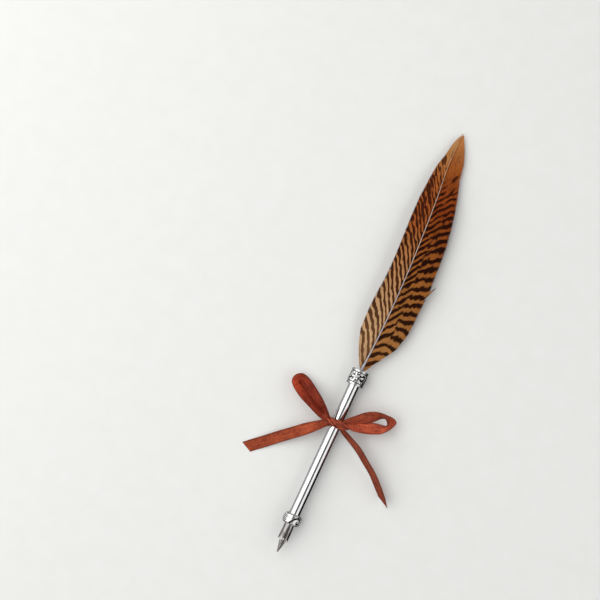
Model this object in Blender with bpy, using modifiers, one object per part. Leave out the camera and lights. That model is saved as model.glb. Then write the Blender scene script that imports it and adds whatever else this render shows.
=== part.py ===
"""Quill pen: a feather glued into a slim metal barrel, with a push-in nib and a satin bow.

The pen lies along Y on the plane Z = 0, its nib towards -Y and its feather towards +Y.
The origin is the bottom centre of the whole object's box.
Sizes below are in millimetres. A station is a distance along the pen from the nib's point,
and across is a distance from the barrel's axis, positive towards +X.
"""
import math

import bmesh
import bpy
from mathutils import Vector

MM = 0.001                       # metres in a millimetre
LENGTH = 274.0                   # nib's point to the feather's tip
GAP = 0.3                        # clearance between pieces that touch on the real pen

# Metal body
ROUND_STEPS = 42                 # facets of a turned piece; one of them faces straight down
BEAD_R = 5.5                     # collar and ferrule, the two beads that the pen lies on
AXIS_Z = BEAD_R * math.cos(math.pi / ROUND_STEPS)
BARREL_R = 3.25
BARREL_WALL = 0.25
BARREL_BORE_R = BARREL_R - BARREL_WALL
SLEEVE_R = BARREL_R + GAP        # bore of a bead that sits on the barrel
COLLAR_START = 17.7
COLLAR_END = 24.4
COLLAR_LIP = 1.5                 # length of the collar's narrow mouth, below the barrel
COLLAR_MOUTH_R = 3.35
FERRULE_START = 108.8
FERRULE_END = 118.4
FERRULE_LIP = 1.2                # thickness of the ferrule's lip over the barrel's end
FERRULE_MOUTH_R = 2.6
FERRULE_WAIST_R = BEAD_R - 0.9   # in the groove beside each rim
FERRULE_BELLY_R = BEAD_R - 0.45
RIM = 1.6                        # length of each of the ferrule's two raised rims
RIM_CHAMFER = 0.3
RIM_STEP = 0.2                   # rounding of a rim's inner edge
BARREL_START = COLLAR_START + COLLAR_LIP + GAP
BARREL_END = FERRULE_END - FERRULE_LIP - GAP

# Nib, a rolled steel shell with a slit, a breather hole and cut-away shoulders
NIB_END = 29.6                   # the tail's end, inside the barrel
NIB_SHOULDER = 8.2               # where the side walls stop and the tines begin
NIB_SHEET = 0.25
NIB_TAIL_R = 2.72
NIB_COLLAR_R = 2.93
NIB_SHOULDER_R = 3.2
NIB_SIDE_ANGLE = 92.0            # degrees from the top of the arc to a side wall's edge
TINE_HALF_WIDTH = 2.3            # at the shoulder
POINT_HALF_WIDTH = 0.3
POINT_DROP = 0.9                 # how far the point bends down
SLIT_HALF_WIDTH = 0.08
BREATHER_R = 0.55
BREATHER_AT = 8.6
NIB_COLUMNS = 7                  # points from the slit to a side wall's edge

# Pieces inside the barrel
STEM_R = 2.1                     # nib holder's stem, which the nib's tail wraps
STEM_START = 20.6
HOLDER_FLANGE = 5.0
BUSH_START = 99.0
BUSH_END = 116.0
BUSH_BORE_R = 1.65
GLUE_LENGTH = 1.6
HOLDER_GAP = 0.4                 # between the nib's tail and the holder's flange
INNER_STEPS = 24                 # facets of the turned pieces inside the barrel

# Feather
SHAFT_SIDES_RESOLUTION = 3
CALAMUS_START = 101.0
SHAFT_END = 271.0
# station, across, height above the surface, radius
SHAFT = (
    (101.0, 0.0, AXIS_Z, 0.75),
    (103.0, 0.0, AXIS_Z, 1.2),
    (110.0, 0.0, AXIS_Z, 1.25),
    (118.0, 0.1, AXIS_Z, 1.05),
    (134.0, 0.8, 6.7, 0.85),
    (152.0, 1.2, 8.3, 0.7),
    (180.0, 0.8, 9.6, 0.55),
    (206.0, -0.4, 9.3, 0.45),
    (232.0, -2.1, 7.4, 0.35),
    (252.0, -4.0, 5.0, 0.28),
    (SHAFT_END, -4.1, 2.5, 0.2),
)
VANE_SHEET = 0.4
VANE_ROWS = 34
VANE_COLUMNS = 4
VANE_GAP = 0.2                   # between a vane and the shaft's side
VANE_LEAST = 0.35                # width where an outline meets the shaft
# station, across of a vane's outer edge
LEFT_EDGE = (
    (120.4, -1.9), (128.0, -5.7), (134.0, -8.5), (140.0, -10.4), (149.0, -11.4), (160.0, -11.5),
    (174.0, -10.6), (186.0, -10.4), (202.0, -11.0), (220.0, -11.8), (234.0, -11.4),
    (250.0, -9.3), (262.0, -7.6), (269.0, -6.2), (LENGTH - 0.3, -4.1),
)
RIGHT_EDGE = (
    (120.8, 2.6), (126.0, 5.2), (130.0, 7.6), (136.0, 11.3), (142.0, 13.7), (150.0, 15.5),
    (162.0, 16.0), (178.0, 16.6), (192.0, 16.0), (206.0, 14.6), (222.0, 11.4),
    (238.0, 7.3), (252.0, 3.6), (264.0, 0.6), (LENGTH, -3.4),
)
LEFT_SLOPE = 9.0                 # degrees that a vane falls away from the shaft
RIGHT_SLOPE = 11.0

# Ribbon, tied round the barrel in a bow
RIBBON_WIDTH = 7.0
RIBBON_SHEET = 0.4               # as modelled; satin itself is about 0.25
RIBBON_SAMPLES = 5               # sections between two rows of a stretch
WRAP_START = 81.2
WRAP_END = 85.8
WRAP_SHEET = 0.5
WRAP_STEPS = 30
WRAP_EDGE = 0.15                 # rounding of its two edges
KNOT_AT = (-0.6, 83.6, 11.5)     # across, station, height
KNOT_HALF = (4.6, 3.0, 1.7)
CAGE_GROWTH = 1.19               # a cage's size over that of the soft form inside it
GATHERED = 4.2                   # width of the ribbon where the knot squeezes it
GATHER_LENGTH = 8.0              # distance over which a loop opens to its full width
# A loop's rows hold its high outer edge and its low inner edge, as (out, aside, out, aside)
# from the loop's root: out on the right-hand side, round the far end and back on the left.
RIGHT_LOOP_ROOT = (3.0, 85.0)
RIGHT_LOOP_TURN = 25.2           # degrees from +X
RIGHT_LOOP = (
    (1.8, -2.4, 1.8, -0.8), (6.0, -4.6, 5.6, -0.6), (13.0, -6.1, 12.0, -0.5),
    (18.5, -6.5, 18.0, -0.6), (23.0, -6.0, 23.0, -0.9), (27.6, -3.6, 25.8, -1.2),
    (31.0, -1.4, 26.5, -0.4), (32.3, 0.6, 26.7, 0.8), (30.6, 2.8, 26.4, 2.2),
    (27.0, 4.6, 25.6, 3.1), (23.6, 6.2, 22.6, 2.2), (18.6, 7.1, 18.0, 1.2),
    (12.6, 6.4, 12.0, 0.4), (6.0, 3.9, 5.6, 0.3), (1.8, 1.8, 1.8, 0.2),
)
LEFT_LOOP_ROOT = (-6.0, 84.0)
LEFT_LOOP_TURN = 149.8
LEFT_LOOP = (
    (-0.2, -1.8, -0.2, -0.5), (6.0, -3.4, 5.5, -0.5), (13.5, -4.5, 12.8, -0.4),
    (21.0, -5.2, 20.0, -0.5), (27.0, -4.8, 24.8, -0.6), (30.8, -3.2, 26.2, -0.4),
    (32.4, 0.6, 26.7, 0.4), (31.2, 4.4, 26.4, 1.2), (27.4, 5.9, 25.0, 1.1),
    (21.5, 6.1, 20.2, 0.7), (14.0, 5.3, 13.0, 0.5), (6.5, 4.2, 6.0, 0.5), (0.2, 2.2, 0.2, 0.5),
)
LOOP_ROOT_Z = 9.4                # height of a loop's low edge at the knot, and at its far end
LOOP_FAR_Z = 1.4
# A tail's rows: across, station, height of its middle, width, roll of its left side upwards
LEFT_TAIL = (
    (-6.1, 80.7, 7.2, 4.2, 0.0), (-9.2, 78.2, 6.8, 5.6, 4.0), (-14.9, 73.3, 5.6, 7.0, 6.0),
    (-21.3, 67.6, 3.8, 7.0, 4.0), (-27.7, 62.0, 2.1, 7.0, 2.0), (-34.0, 56.1, 0.8, 7.0, 0.0),
    (-38.6, 52.0, 0.25, 7.0, 0.0), (-43.0, 48.0, 0.25, 7.0, 0.0),
)
RIGHT_TAIL = (
    (5.2, 80.9, 8.2, 4.4, 52.0), (10.5, 78.9, 7.6, 5.8, 58.0), (17.0, 75.5, 6.7, 7.0, 60.0),
    (23.0, 71.8, 5.8, 7.0, 60.0), (28.6, 67.9, 5.0, 7.0, 60.0), (33.6, 64.0, 4.3, 7.0, 60.0),
    (38.4, 59.8, 3.6, 7.0, 59.0), (42.2, 55.8, 3.2, 7.0, 59.0), (44.6, 52.8, 3.1, 7.0, 60.0),
)
LEFT_TAIL_CUT = (-1.4, 1.4)      # extra length of a tail's left and right edge at its slanted end
RIGHT_TAIL_CUT = (2.6, -2.2)


# ---------------------------------------------------------------- scene and materials

def clear_scene():
    for obj in list(bpy.data.objects):
        bpy.data.objects.remove(obj, do_unlink=True)


def make_collection(name):
    collection = bpy.data.collections.new(name)
    bpy.context.scene.collection.children.link(collection)
    return collection


def make_material(name, color, roughness, metallic):
    material = bpy.data.materials.new(name)
    material.use_nodes = True
    shader = material.node_tree.nodes["Principled BSDF"]
    shader.inputs["Base Color"].default_value = (*color, 1.0)
    shader.inputs["Roughness"].default_value = roughness
    shader.inputs["Metallic"].default_value = metallic
    return material


def polished_metal():
    return make_material("polished_metal", (0.80, 0.80, 0.81), 0.08, 1.0)


def nib_steel():
    return make_material("nib_steel", (0.62, 0.60, 0.59), 0.22, 1.0)


def antique_silver():
    return make_material("antique_silver", (0.68, 0.68, 0.66), 0.30, 1.0)


def holder_steel():
    return make_material("holder_steel", (0.45, 0.45, 0.46), 0.40, 1.0)


def bush_plastic():
    return make_material("bush_plastic", (0.78, 0.76, 0.70), 0.55, 0.0)


def clear_glue():
    return make_material("clear_glue", (0.75, 0.68, 0.52), 0.20, 0.0)


def quill_keratin():
    return make_material("quill_keratin", (0.62, 0.56, 0.54), 0.35, 0.0)


def feather_tan():
    return make_material("feather_tan", (0.50, 0.30, 0.12), 0.75, 0.0)


def feather_rust():
    return make_material("feather_rust", (0.36, 0.14, 0.04), 0.75, 0.0)


def satin_ribbon():
    return make_material("satin_ribbon", (0.30, 0.06, 0.03), 0.40, 0.0)


# ---------------------------------------------------------------- shared geometry

def place(across, station, height):
    """A point of the pen, in metres, from millimetres."""
    return Vector((across, station - LENGTH / 2, height)) * MM


def add_object(name, data, material, collection, parent=None):
    obj = bpy.data.objects.new(name, data)
    obj.data.materials.append(material)
    collection.objects.link(obj)
    obj.parent = parent
    return obj


def add_empty(name, location, collection):
    empty = bpy.data.objects.new(name, None)
    empty.location = location
    collection.objects.link(empty)
    return empty


def shade_round(mesh, angle=35.0):
    mesh.shade_smooth()
    mesh.set_sharp_from_angle(angle=math.radians(angle))


def smooth_rows(rows, samples):
    """Rows of numbers, made finer by a Catmull-Rom curve through the given ones."""
    last = len(rows) - 1
    fine = []
    for i in range(last):
        around = [rows[min(max(i + k, 0), last)] for k in (-1, 0, 1, 2)]
        for step in range(samples):
            t = step / samples
            fine.append(tuple(catmull_rom(values, t) for values in zip(*around)))
    fine.append(tuple(rows[last]))
    return fine


def catmull_rom(values, t):
    a, b, c, d = values
    return 0.5 * (
        2 * b + (c - a) * t + (2 * a - 5 * b + 4 * c - d) * t * t
        + (3 * b - a - 3 * c + d) * t ** 3
    )


def read_at(table, station):
    """The values of a table at a station, on smooth curves through its rows."""
    rows = smooth_rows(table, 12)
    for low, high in zip(rows, rows[1:]):
        if station <= high[0]:
            t = (station - low[0]) / (high[0] - low[0])
            return [a + (b - a) * t for a, b in zip(low[1:], high[1:])]
    return list(rows[-1][1:])


def turned(name, profile, material, collection, steps=ROUND_STEPS, parent=None):
    """A ring or rod turned about the pen's axis, from (station, radius) points.

    The profile runs down its outer side, from the feather's end to the nib's, and closes itself
    when its first and last points are not both on the axis.
    """
    mesh = bpy.data.meshes.new(name)
    points = [(radius * MM, 0.0, station * MM) for station, radius in profile]
    edges = [(i, i + 1) for i in range(len(points) - 1)]
    if profile[0][1] > 0 or profile[-1][1] > 0:
        edges.append((len(points) - 1, 0))
    mesh.from_pydata(points, edges, [])
    obj = add_object(name, mesh, material, collection, parent)
    obj.location = place(0.0, 0.0, AXIS_Z)
    obj.rotation_euler.x = -math.pi / 2
    screw = obj.modifiers.new("turn", "SCREW")
    screw.axis = "Z"
    screw.steps = steps
    screw.render_steps = steps
    screw.use_merge_vertices = True
    screw.merge_threshold = 0.000001
    screw.use_smooth_shade = True
    return obj


def sheet_mesh(name, rows):
    """An open sheet from rows of points, all of the same length."""
    bm = bmesh.new()
    grid = [[bm.verts.new(point) for point in row] for row in rows]
    for lower, upper in zip(grid, grid[1:]):
        for i in range(len(lower) - 1):
            bm.faces.new((lower[i], lower[i + 1], upper[i + 1], upper[i]))
    mesh = bpy.data.meshes.new(name)
    bm.to_mesh(mesh)
    bm.free()
    return mesh


def thicken(obj, thickness, offset=0.0):
    solidify = obj.modifiers.new("thickness", "SOLIDIFY")
    solidify.thickness = thickness * MM
    solidify.offset = offset
    solidify.use_even_offset = True


# ---------------------------------------------------------------- metal body

def make_barrel(material, collection):
    profile = (
        (BARREL_END, BARREL_R), (BARREL_START, BARREL_R),
        (BARREL_START, BARREL_BORE_R), (BARREL_END, BARREL_BORE_R),
    )
    return turned("barrel", profile, material, collection)


def make_lower_collar(material, collection):
    """A stout rounded ring on the barrel's lower end, whose narrow mouth the nib passes."""
    top = COLLAR_END
    bottom = COLLAR_START
    profile = (
        (top, SLEEVE_R + 0.5), (top - 0.5, BEAD_R - 0.9), (top - 1.1, BEAD_R - 0.25),
        (top - 1.8, BEAD_R), (bottom + 2.1, BEAD_R), (bottom + 1.2, BEAD_R - 0.4),
        (bottom + 0.5, BEAD_R - 1.0), (bottom, BEAD_R - 1.3),
        (bottom, COLLAR_MOUTH_R), (bottom + COLLAR_LIP, COLLAR_MOUTH_R),
        (bottom + COLLAR_LIP, SLEEVE_R), (top, SLEEVE_R),
    )
    return turned("lower_collar", profile, material, collection)


def make_upper_ferrule(material, collection):
    """A cast bead between two raised rims, with a lip over the barrel's upper end."""
    top = FERRULE_END
    bottom = FERRULE_START
    rim_edge = BEAD_R - RIM_CHAMFER
    rim_foot = BEAD_R - RIM_STEP
    shoulder = FERRULE_BELLY_R - 0.1
    lip = top - FERRULE_LIP
    profile = (
        (top, rim_edge), (top - RIM_CHAMFER, BEAD_R), (top - RIM + RIM_STEP, BEAD_R),
        (top - RIM, rim_foot), (top - RIM - 0.1, FERRULE_WAIST_R), (top - RIM - 0.8, shoulder),
        ((top + bottom) / 2, FERRULE_BELLY_R),
        (bottom + RIM + 0.8, shoulder), (bottom + RIM + 0.1, FERRULE_WAIST_R), (bottom + RIM, rim_foot),
        (bottom + RIM - RIM_STEP, BEAD_R), (bottom + RIM_CHAMFER, BEAD_R), (bottom, rim_edge),
        (bottom, SLEEVE_R), (lip, SLEEVE_R), (lip, FERRULE_MOUTH_R), (top, FERRULE_MOUTH_R),
    )
    return turned("upper_ferrule", profile, material, collection)


def make_nib_holder(material, collection):
    """A plug pressed into the barrel, with a round-ended stem that backs the nib's tail."""
    flange_r = BARREL_BORE_R - GAP
    flange_start = NIB_END + HOLDER_GAP
    profile = [(flange_start + HOLDER_FLANGE, 0.0), (flange_start + HOLDER_FLANGE, flange_r)]
    profile += [(flange_start, flange_r), (flange_start, STEM_R)]
    for step in range(5):
        turn = math.radians(22.5 * step)
        profile.append((STEM_START + STEM_R * (1 - math.sin(turn)), STEM_R * math.cos(turn)))
    return turned("nib_holder", profile, material, collection, steps=INNER_STEPS)


def make_quill_bush(material, collection):
    outer = BARREL_BORE_R - GAP
    profile = (
        (BUSH_END, outer), (BUSH_START, outer), (BUSH_START, BUSH_BORE_R), (BUSH_END, BUSH_BORE_R),
    )
    return turned("quill_bush", profile, material, collection, steps=INNER_STEPS)


def make_adhesive_plug(material, collection):
    """A domed ring of glue round the quill, in the ferrule's mouth."""
    outer = FERRULE_MOUTH_R - GAP
    start = BUSH_END + GAP
    crown = start + GLUE_LENGTH
    profile = (
        (crown + 0.2, BUSH_BORE_R), (crown, outer - 0.4), (crown - 0.3, outer),
        (start, outer), (start, BUSH_BORE_R),
    )
    return turned("adhesive_plug", profile, material, collection, steps=INNER_STEPS)


# ---------------------------------------------------------------- nib

def nib_radius(station):
    """Radius of the nib's outer face: it flares from the tail to the shoulders."""
    table = (
        (0.0, NIB_SHOULDER_R), (NIB_SHOULDER, NIB_SHOULDER_R), (COLLAR_START, NIB_COLLAR_R),
        (COLLAR_START + 3.0, NIB_TAIL_R), (NIB_END, NIB_TAIL_R),
    )
    for (low, a), (high, b) in zip(table, table[1:]):
        if station <= high:
            return a + (b - a) * (station - low) / (high - low)
    return NIB_TAIL_R


def nib_outer_angle(station):
    """Half of the arc that the nib covers at a station, in radians."""
    if station >= NIB_SHOULDER:
        return math.radians(NIB_SIDE_ANGLE)
    width = POINT_HALF_WIDTH + (TINE_HALF_WIDTH - POINT_HALF_WIDTH) * station / NIB_SHOULDER
    return math.asin(width / NIB_SHOULDER_R)


def nib_inner_angle(station):
    """Half of the slit or of the breather hole, and nothing in the solid body."""
    above = abs(station - BREATHER_AT)
    if above < BREATHER_R:
        return math.sqrt(BREATHER_R ** 2 - above ** 2) / NIB_SHOULDER_R
    if station < BREATHER_AT:
        return SLIT_HALF_WIDTH / NIB_SHOULDER_R
    return 0.0


def make_nib(material, collection, parent):
    """Half of the shell as an open sheet, mirrored across the slit and thickened inwards."""
    stations = [NIB_SHOULDER * i / 8 for i in range(8)] + [NIB_SHOULDER - 0.2, NIB_SHOULDER]
    hole = [BREATHER_AT + BREATHER_R * math.sin(math.radians(a)) for a in (-20, 10, 40, 65, 90)]
    stations += hole + [NIB_SHOULDER + 2.2 + i for i in range(8)]
    stations += [COLLAR_START, COLLAR_START + 1.5, COLLAR_START + 3.0, 23.5, 26.5, NIB_END]
    rows = []
    for station in stations:
        radius = nib_radius(station) - NIB_SHEET / 2
        inner = nib_inner_angle(station)
        outer = nib_outer_angle(station)
        drop = POINT_DROP * max(0.0, 1 - station / NIB_SHOULDER) ** 2
        row = []
        for i in range(NIB_COLUMNS):
            angle = inner + (outer - inner) * i / (NIB_COLUMNS - 1)
            row.append(Vector((
                radius * math.sin(angle), station - COLLAR_START, radius * math.cos(angle) - drop,
            )) * MM)
        rows.append(row)
    obj = add_object("nib", sheet_mesh("nib", rows), material, collection, parent)
    mirror = obj.modifiers.new("other_half", "MIRROR")
    mirror.use_axis = (True, False, False)
    mirror.merge_threshold = 0.00001
    thicken(obj, NIB_SHEET)
    shade_round(obj.data)
    return obj


# ---------------------------------------------------------------- feather

def make_quill_shaft(material, collection):
    """The calamus in its bush and the tapering shaft above it, one round tapered rod."""
    curve = bpy.data.curves.new("quill_shaft", "CURVE")
    curve.dimensions = "3D"
    curve.bevel_depth = MM
    curve.bevel_resolution = SHAFT_SIDES_RESOLUTION
    curve.use_fill_caps = True
    rows = smooth_rows(SHAFT, 3)
    spline = curve.splines.new("POLY")
    spline.points.add(len(rows) - 1)
    for point, (station, across, height, radius) in zip(spline.points, rows):
        point.co = (*place(across, station, height), 1.0)
        point.radius = radius
    return add_object("quill_shaft", curve, material, collection)


def make_vane(name, edge, side, slope, material, collection):
    """A thin sheet from the shaft's side to the vane's outer edge, falling away sideways."""
    start = edge[0][0]
    end = edge[-1][0]
    rows = []
    for i in range(VANE_ROWS + 1):
        share = i / VANE_ROWS
        station = start + (end - start) * share
        root_x, root_z, shaft_r = read_at(SHAFT, min(station, SHAFT_END))
        root_x += side * (shaft_r + VANE_GAP)
        reach = max(VANE_LEAST, side * (read_at(edge, station)[0] - root_x))
        row = []
        for column in range(VANE_COLUMNS + 1):
            out = reach * column / VANE_COLUMNS
            drop = math.tan(math.radians(slope)) * out
            row.append(place(root_x + side * out, station, root_z - drop))
        if side < 0:
            row.reverse()
        rows.append(row)
    obj = add_object(name, sheet_mesh(name, rows), material, collection)
    thicken(obj, VANE_SHEET)
    shade_round(obj.data)
    return obj


# ---------------------------------------------------------------- ribbon

def make_ribbon_wrap(material, collection, parent):
    """The turns of ribbon round the barrel, under the knot."""
    inner = BARREL_R + GAP
    outer = inner + WRAP_SHEET
    profile = (
        (WRAP_END, outer - WRAP_EDGE), (WRAP_END - 2 * WRAP_EDGE, outer),
        (WRAP_START + 2 * WRAP_EDGE, outer), (WRAP_START, outer - WRAP_EDGE),
        (WRAP_START, inner), (WRAP_END, inner),
    )
    wrap = turned("ribbon_wrap", profile, material, collection, steps=WRAP_STEPS, parent=parent)
    wrap.location -= parent.location
    return wrap


def make_ribbon_knot(material, collection, parent):
    """A soft lump from a cube, drawn in by subdivision."""
    bm = bmesh.new()
    bmesh.ops.create_cube(bm, size=2.0)
    bmesh.ops.scale(bm, vec=Vector(KNOT_HALF) * MM * CAGE_GROWTH, verts=bm.verts)
    mesh = bpy.data.meshes.new("ribbon_knot")
    bm.to_mesh(mesh)
    bm.free()
    obj = add_object("ribbon_knot", mesh, material, collection, parent)
    obj.location = place(*KNOT_AT) - parent.location
    soften = obj.modifiers.new("soften", "SUBSURF")
    soften.levels = 2
    soften.render_levels = 2
    return obj


def make_loop(name, root, turn, rows, material, collection, parent):
    """A band that leans outwards all the way round: its outer edge is the higher one."""
    far = max(row[2] for row in rows)
    sections = []
    for out_high, aside_high, out_low, aside_low in smooth_rows(rows, RIBBON_SAMPLES):
        opened = min(1.0, out_low / GATHER_LENGTH)
        width = GATHERED + (RIBBON_WIDTH - GATHERED) * opened
        spread = math.hypot(out_high - out_low, aside_high - aside_low)
        rise = math.sqrt(max(0.0, width ** 2 - spread ** 2))
        low = LOOP_ROOT_Z + (LOOP_FAR_Z - LOOP_ROOT_Z) * out_low / far
        edge_high = Vector((out_high, aside_high, low + rise)) * MM
        edge_low = Vector((out_low, aside_low, low)) * MM
        sections.append([edge_high, (edge_high + edge_low) / 2, edge_low])
    obj = add_object(name, sheet_mesh(name, sections), material, collection, parent)
    obj.location = place(*root, 0.0) - parent.location
    obj.rotation_euler.z = math.radians(turn)
    thicken(obj, RIBBON_SHEET)
    shade_round(obj.data, 60.0)
    return obj


def make_tail(name, rows, cut, material, collection, parent):
    """A band along a tail's middle line, rolled about it, with a slanted end."""
    fine = smooth_rows(rows, RIBBON_SAMPLES)
    points = [place(*row[:3]) for row in fine]
    sections = []
    for i, (width, roll) in enumerate(row[3:] for row in fine):
        along = (points[min(i + 1, len(points) - 1)] - points[max(i - 1, 0)]).normalized()
        level = Vector((-along.y, along.x, 0.0)).normalized()
        upward = along.cross(level)
        turn = math.radians(roll)
        left = (level * math.cos(turn) + upward * math.sin(turn)) * width * MM / 2
        slant = max(0.0, (i - len(fine) + 1 + RIBBON_SAMPLES) / RIBBON_SAMPLES) * MM
        edge_left = points[i] + left + along * cut[0] * slant
        edge_right = points[i] - left + along * cut[1] * slant
        sections.append([edge_left, (edge_left + edge_right) / 2, edge_right])
    sections = [[point - parent.location for point in section] for section in sections]
    obj = add_object(name, sheet_mesh(name, sections), material, collection, parent)
    thicken(obj, RIBBON_SHEET)
    shade_round(obj.data, 60.0)
    return obj


# ---------------------------------------------------------------- assembly

def make_pen():
    clear_scene()
    pen = make_collection("quill_pen")
    silver = antique_silver()
    make_lower_collar(silver, pen)
    make_upper_ferrule(silver, pen)
    make_barrel(polished_metal(), pen)
    make_nib_holder(holder_steel(), pen)
    make_quill_bush(bush_plastic(), pen)
    make_adhesive_plug(clear_glue(), pen)

    nib_axis = add_empty("nib_axis", place(0.0, COLLAR_START, AXIS_Z), pen)
    make_nib(nib_steel(), pen, nib_axis)

    make_quill_shaft(quill_keratin(), pen)
    make_vane("vane_left", LEFT_EDGE, -1, LEFT_SLOPE, feather_tan(), pen)
    make_vane("vane_right", RIGHT_EDGE, 1, RIGHT_SLOPE, feather_rust(), pen)

    satin = satin_ribbon()
    bow_axis = add_empty("bow_axis", place(0.0, KNOT_AT[1], AXIS_Z), pen)
    make_ribbon_wrap(satin, pen, bow_axis)
    make_ribbon_knot(satin, pen, bow_axis)
    make_loop("ribbon_loop_right", RIGHT_LOOP_ROOT, RIGHT_LOOP_TURN, RIGHT_LOOP, satin, pen, bow_axis)
    make_loop("ribbon_loop_left", LEFT_LOOP_ROOT, LEFT_LOOP_TURN, LEFT_LOOP, satin, pen, bow_axis)
    make_tail("ribbon_tail_right", RIGHT_TAIL, RIGHT_TAIL_CUT, satin, pen, bow_axis)
    make_tail("ribbon_tail_left", LEFT_TAIL, LEFT_TAIL_CUT, satin, pen, bow_axis)


make_pen()
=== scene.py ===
"""Looks of the quill pen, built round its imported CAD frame.

The pen lies along Y on the plane Z = 0, its nib towards -Y and its feather towards +Y.
Sizes below are in millimetres. A station is a distance along the pen from the nib's point,
and across is a distance from the barrel's axis, positive towards +X.
"""
import math

import bmesh
import bpy
import numpy as np
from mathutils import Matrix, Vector

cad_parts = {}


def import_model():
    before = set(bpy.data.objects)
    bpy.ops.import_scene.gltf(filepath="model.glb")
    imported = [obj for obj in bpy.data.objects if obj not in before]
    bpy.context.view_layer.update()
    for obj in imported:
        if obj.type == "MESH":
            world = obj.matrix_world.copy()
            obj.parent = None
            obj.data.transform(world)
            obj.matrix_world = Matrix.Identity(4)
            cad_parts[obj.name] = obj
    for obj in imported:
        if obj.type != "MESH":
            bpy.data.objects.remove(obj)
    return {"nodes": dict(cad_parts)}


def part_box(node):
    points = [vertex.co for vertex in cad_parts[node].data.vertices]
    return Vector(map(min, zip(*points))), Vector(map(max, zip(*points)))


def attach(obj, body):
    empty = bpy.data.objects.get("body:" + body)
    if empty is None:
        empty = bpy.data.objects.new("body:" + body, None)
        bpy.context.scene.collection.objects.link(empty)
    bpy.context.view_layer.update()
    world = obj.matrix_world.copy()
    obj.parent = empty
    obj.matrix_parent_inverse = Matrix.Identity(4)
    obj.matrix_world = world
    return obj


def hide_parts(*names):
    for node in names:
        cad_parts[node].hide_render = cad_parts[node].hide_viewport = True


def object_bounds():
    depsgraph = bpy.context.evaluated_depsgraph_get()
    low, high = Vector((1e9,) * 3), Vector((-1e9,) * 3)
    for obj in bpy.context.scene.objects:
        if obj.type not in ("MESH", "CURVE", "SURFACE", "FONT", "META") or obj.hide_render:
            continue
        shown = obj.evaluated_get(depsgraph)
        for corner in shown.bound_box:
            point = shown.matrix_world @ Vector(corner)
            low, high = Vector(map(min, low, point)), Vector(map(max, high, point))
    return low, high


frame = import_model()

CAD_BOX = [list(corner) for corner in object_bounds()]

MM = 0.001                       # metres in a millimetre
BARREL_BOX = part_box("barrel")
HALF = -CAD_BOX[0][1] / MM       # station of the world's origin
AXIS_Z = (BARREL_BOX[0].z + BARREL_BOX[1].z) / 2 / MM
BARREL_R = (BARREL_BOX[1].x - BARREL_BOX[0].x) / 2 / MM
BARREL_START = BARREL_BOX[0].y / MM + HALF
BARREL_END = BARREL_BOX[1].y / MM + HALF
SLEEVE_R = BARREL_R + 0.3

# Feather, with the routes that the CAD solids follow
SHAFT = (                        # station, across, height, radius
    (101, 0, AXIS_Z, 0.75),
    (103, 0, AXIS_Z, 1.2),
    (110, 0, AXIS_Z, 1.25),
    (118, 0.1, AXIS_Z, 1.05),
    (134, 0.8, 6.7, 0.85),
    (152, 1.2, 8.3, 0.7),
    (180, 0.8, 9.6, 0.55),
    (206, -0.4, 9.3, 0.45),
    (232, -2.1, 7.4, 0.35),
    (252, -4, 5, 0.28),
    (271, -4.1, 2.5, 0.2),
)
LEFT_EDGE = (                    # station, across
    (120.4, -1.9), (128, -5.7), (134, -8.5), (140, -10.4), (149, -11.4), (160, -11.5),
    (174, -10.6), (186, -10.4), (202, -11), (220, -11.8), (234, -11.4),
    (250, -9.3), (262, -7.6), (269, -6.2), (273.7, -4.1),
)
RIGHT_EDGE = (
    (120.8, 2.6), (126, 5.2), (130, 7.6), (136, 11.3), (142, 13.7), (150, 15.5),
    (162, 16), (178, 16.6), (192, 16), (206, 14.6), (222, 11.4),
    (238, 7.3), (252, 3.6), (264, 0.6), (274, -3.4),
)
SHAFT_SLIM = 0.56                # the horn's radius over its CAD solid's, above the ferrule
BARB_FIRST = 118.7               # station of the lowest barb's root
BARB_LAST = 271.6
BARB_PITCH = 0.42
BARB_POINTS = 15                 # rings of points along a barb
BARB_STEP = 0.3                  # step when a barb's path is worked out
LONGEST_BARB = 60.0              # enough path for every barb to reach the outline
BARB_OVERLAP = 1.8               # a barb's width over the distance to the next one
LEFT_FRINGE = (                  # station, how far the thin ends of the barbs pass the outline
    (118, 0.2), (128, 0.6), (136, 1.2), (141, 0.3), (147, 0), (226, 0.2),
    (236, 0.5), (246, 1.1), (252, 1.3), (258, 0.4), (274, 0.3),
)
RIGHT_FRINGE = (
    (118, 0.8), (130, 1.2), (136, 2), (143, 1.1), (158, 1.5), (190, 0.9),
    (206, 1.3), (222, 1.9), (236, 2.1), (248, 1.6), (258, 2.2), (264, 1.5), (272, 0.6),
)
BARB_RIDGE = 0.07
BARB_KEEL = 0.05

# Ribbon
RIBBON_WIDTH = 7.0
RIBBON_SHEET = 0.25
LEAST_FLAT = 10.0                # smallest side of a sheet's flat rectangle
GATHERED = 3.4                   # width of the ribbon where the knot squeezes it
GATHER_LENGTH = 8.0
LOOP_ROOT_Z = 9.4
LOOP_FAR_Z = 1.4
LOOP_LAP = 0.4                   # how much higher the returning half of a loop lies
SAMPLES = 10                     # sections between two rows of a stretch
RIGHT_LOOP_ROOT = (3.0, 85.0)
RIGHT_LOOP_TURN = 25.2
RIGHT_LOOP = (                   # high edge out and aside, low edge out and aside
    (0.4, -1.4, 0.6, 0.1), (6, -4.4, 5.6, 0.4), (13, -6.1, 12.6, 0.7),
    (18.5, -6.7, 18, 0.3), (23.2, -6.4, 22.6, -0.8), (27.8, -4.2, 26.2, -1.6),
    (31.2, -1.6, 27.2, -0.9), (32.5, 0.5, 27, 0.5), (30.8, 2.8, 26.6, 1.8),
    (27.2, 4.7, 25.6, 2.7), (23.6, 6.1, 23, 2.4), (18.6, 6.9, 18.3, 0.5),
    (12.6, 6.2, 12.2, -0.3), (6, 3.9, 5.6, -0.2), (0.4, 1.5, 0.6, -0.1),
)
LEFT_LOOP_ROOT = (-6.0, 84.0)
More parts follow.
